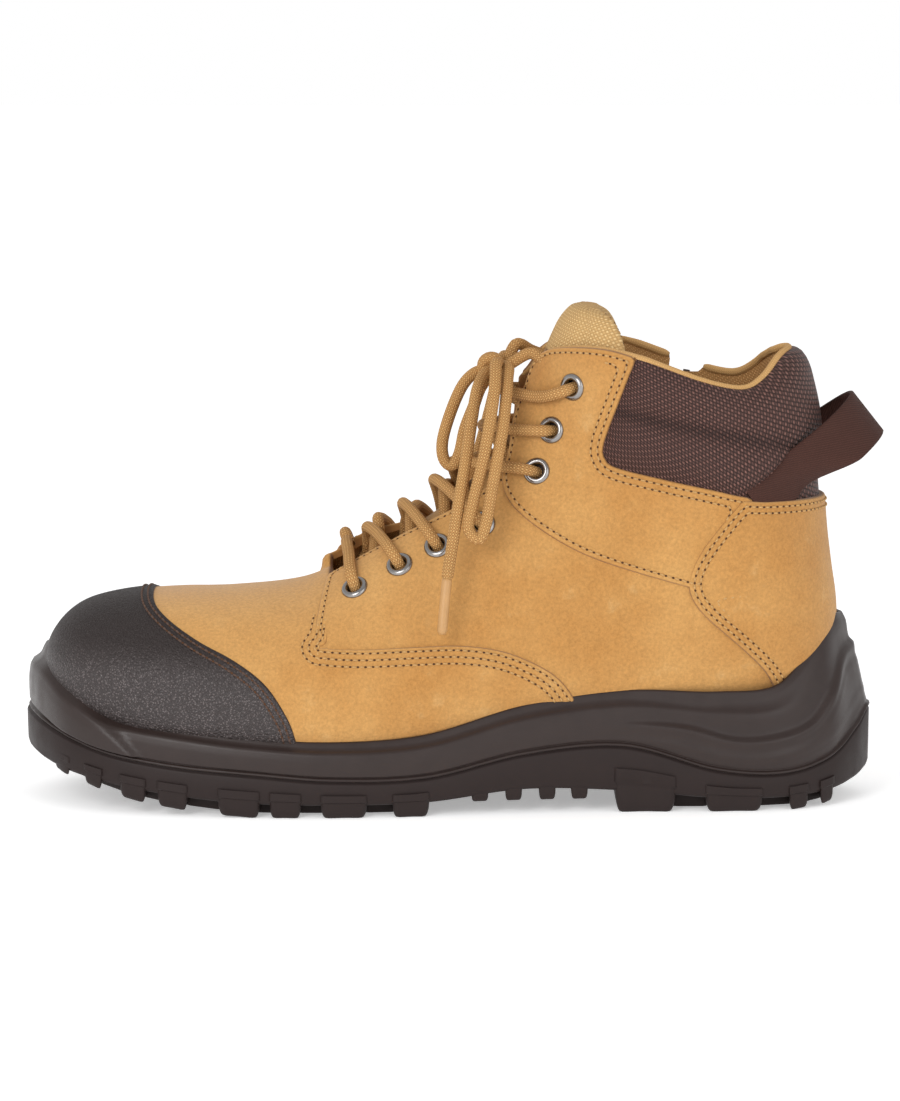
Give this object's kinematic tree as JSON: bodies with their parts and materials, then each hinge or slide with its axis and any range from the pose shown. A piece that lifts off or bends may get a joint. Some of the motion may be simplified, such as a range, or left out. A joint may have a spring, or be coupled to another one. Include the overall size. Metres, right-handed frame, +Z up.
{
  "type": "side-zip safety boot",
  "caption": "Left ankle-high safety boot: wheat nubuck upper, dark toe cap, padded cuff, eyelet lacing, inner side zip, heel pull loop and lugged sole.",
  "frame": {"origin": "on the floor below the middle of the boot's length and width", "axes": "-X towards the toe, -Y towards the outer side, +Z up"},
  "size_m": [0.3096, 0.1042, 0.1811],
  "materials": {
    "nubuck": "wheat nubuck, fine nap",
    "coated_leather": "grained coating, half gloss",
    "cuff_textile": "coarse basket weave, matt",
    "textile": "soft knit",
    "webbing": "woven tape",
    "lace": "round braid",
    "zip_tape": "zip tape with moulded teeth",
    "sole": "moulded, satin",
    "steel": "nickel plate"
  },
  "bodies": {
    "boot": {"outsole": "sole", "midsole": "sole", "insole": "textile", "upper": "nubuck", "toe_cap": "coated_leather", "quarter_lateral": "nubuck", "quarter_medial": "nubuck", "ankle_panel_lateral": "nubuck", "ankle_panel_medial": "nubuck", "ankle_panel_rear": "nubuck", "heel_counter": "nubuck", "cuff": "cuff_textile", "cuff_front": "cuff_textile", "tongue": "textile", "pull_loop": "webbing", "lace_crossings": "lace", "lace_knot": "lace", "lace_loop_near": "lace", "lace_loop_front": "lace", "lace_end_near": "lace", "lace_end_far": "lace", "zip_chain": "zip_tape", "zip_slider": "steel", "eyelet_lateral_1": "steel", "eyelet_lateral_2": "steel", "eyelet_lateral_3": "steel", "eyelet_lateral_4": "steel", "eyelet_lateral_5": "steel", "eyelet_lateral_6": "steel", "eyelet_lateral_7": "steel", "eyelet_medial_1": "steel", "eyelet_medial_2": "steel", "eyelet_medial_3": "steel", "eyelet_medial_4": "steel", "eyelet_medial_5": "steel", "eyelet_medial_6": "steel", "eyelet_medial_7": "steel"},
    "zip_tab": {"zip_pull": "steel"}
  },
  "joints": [
    {"name": "zip_tab_swing", "type": "hinge", "parent": "boot", "child": "zip_tab", "pos_m": [0.08313, 0.04218, 0.1419], "axis": [0.9774, -0.1418, -0.1569], "range_deg": [0, 150]}
  ]
}
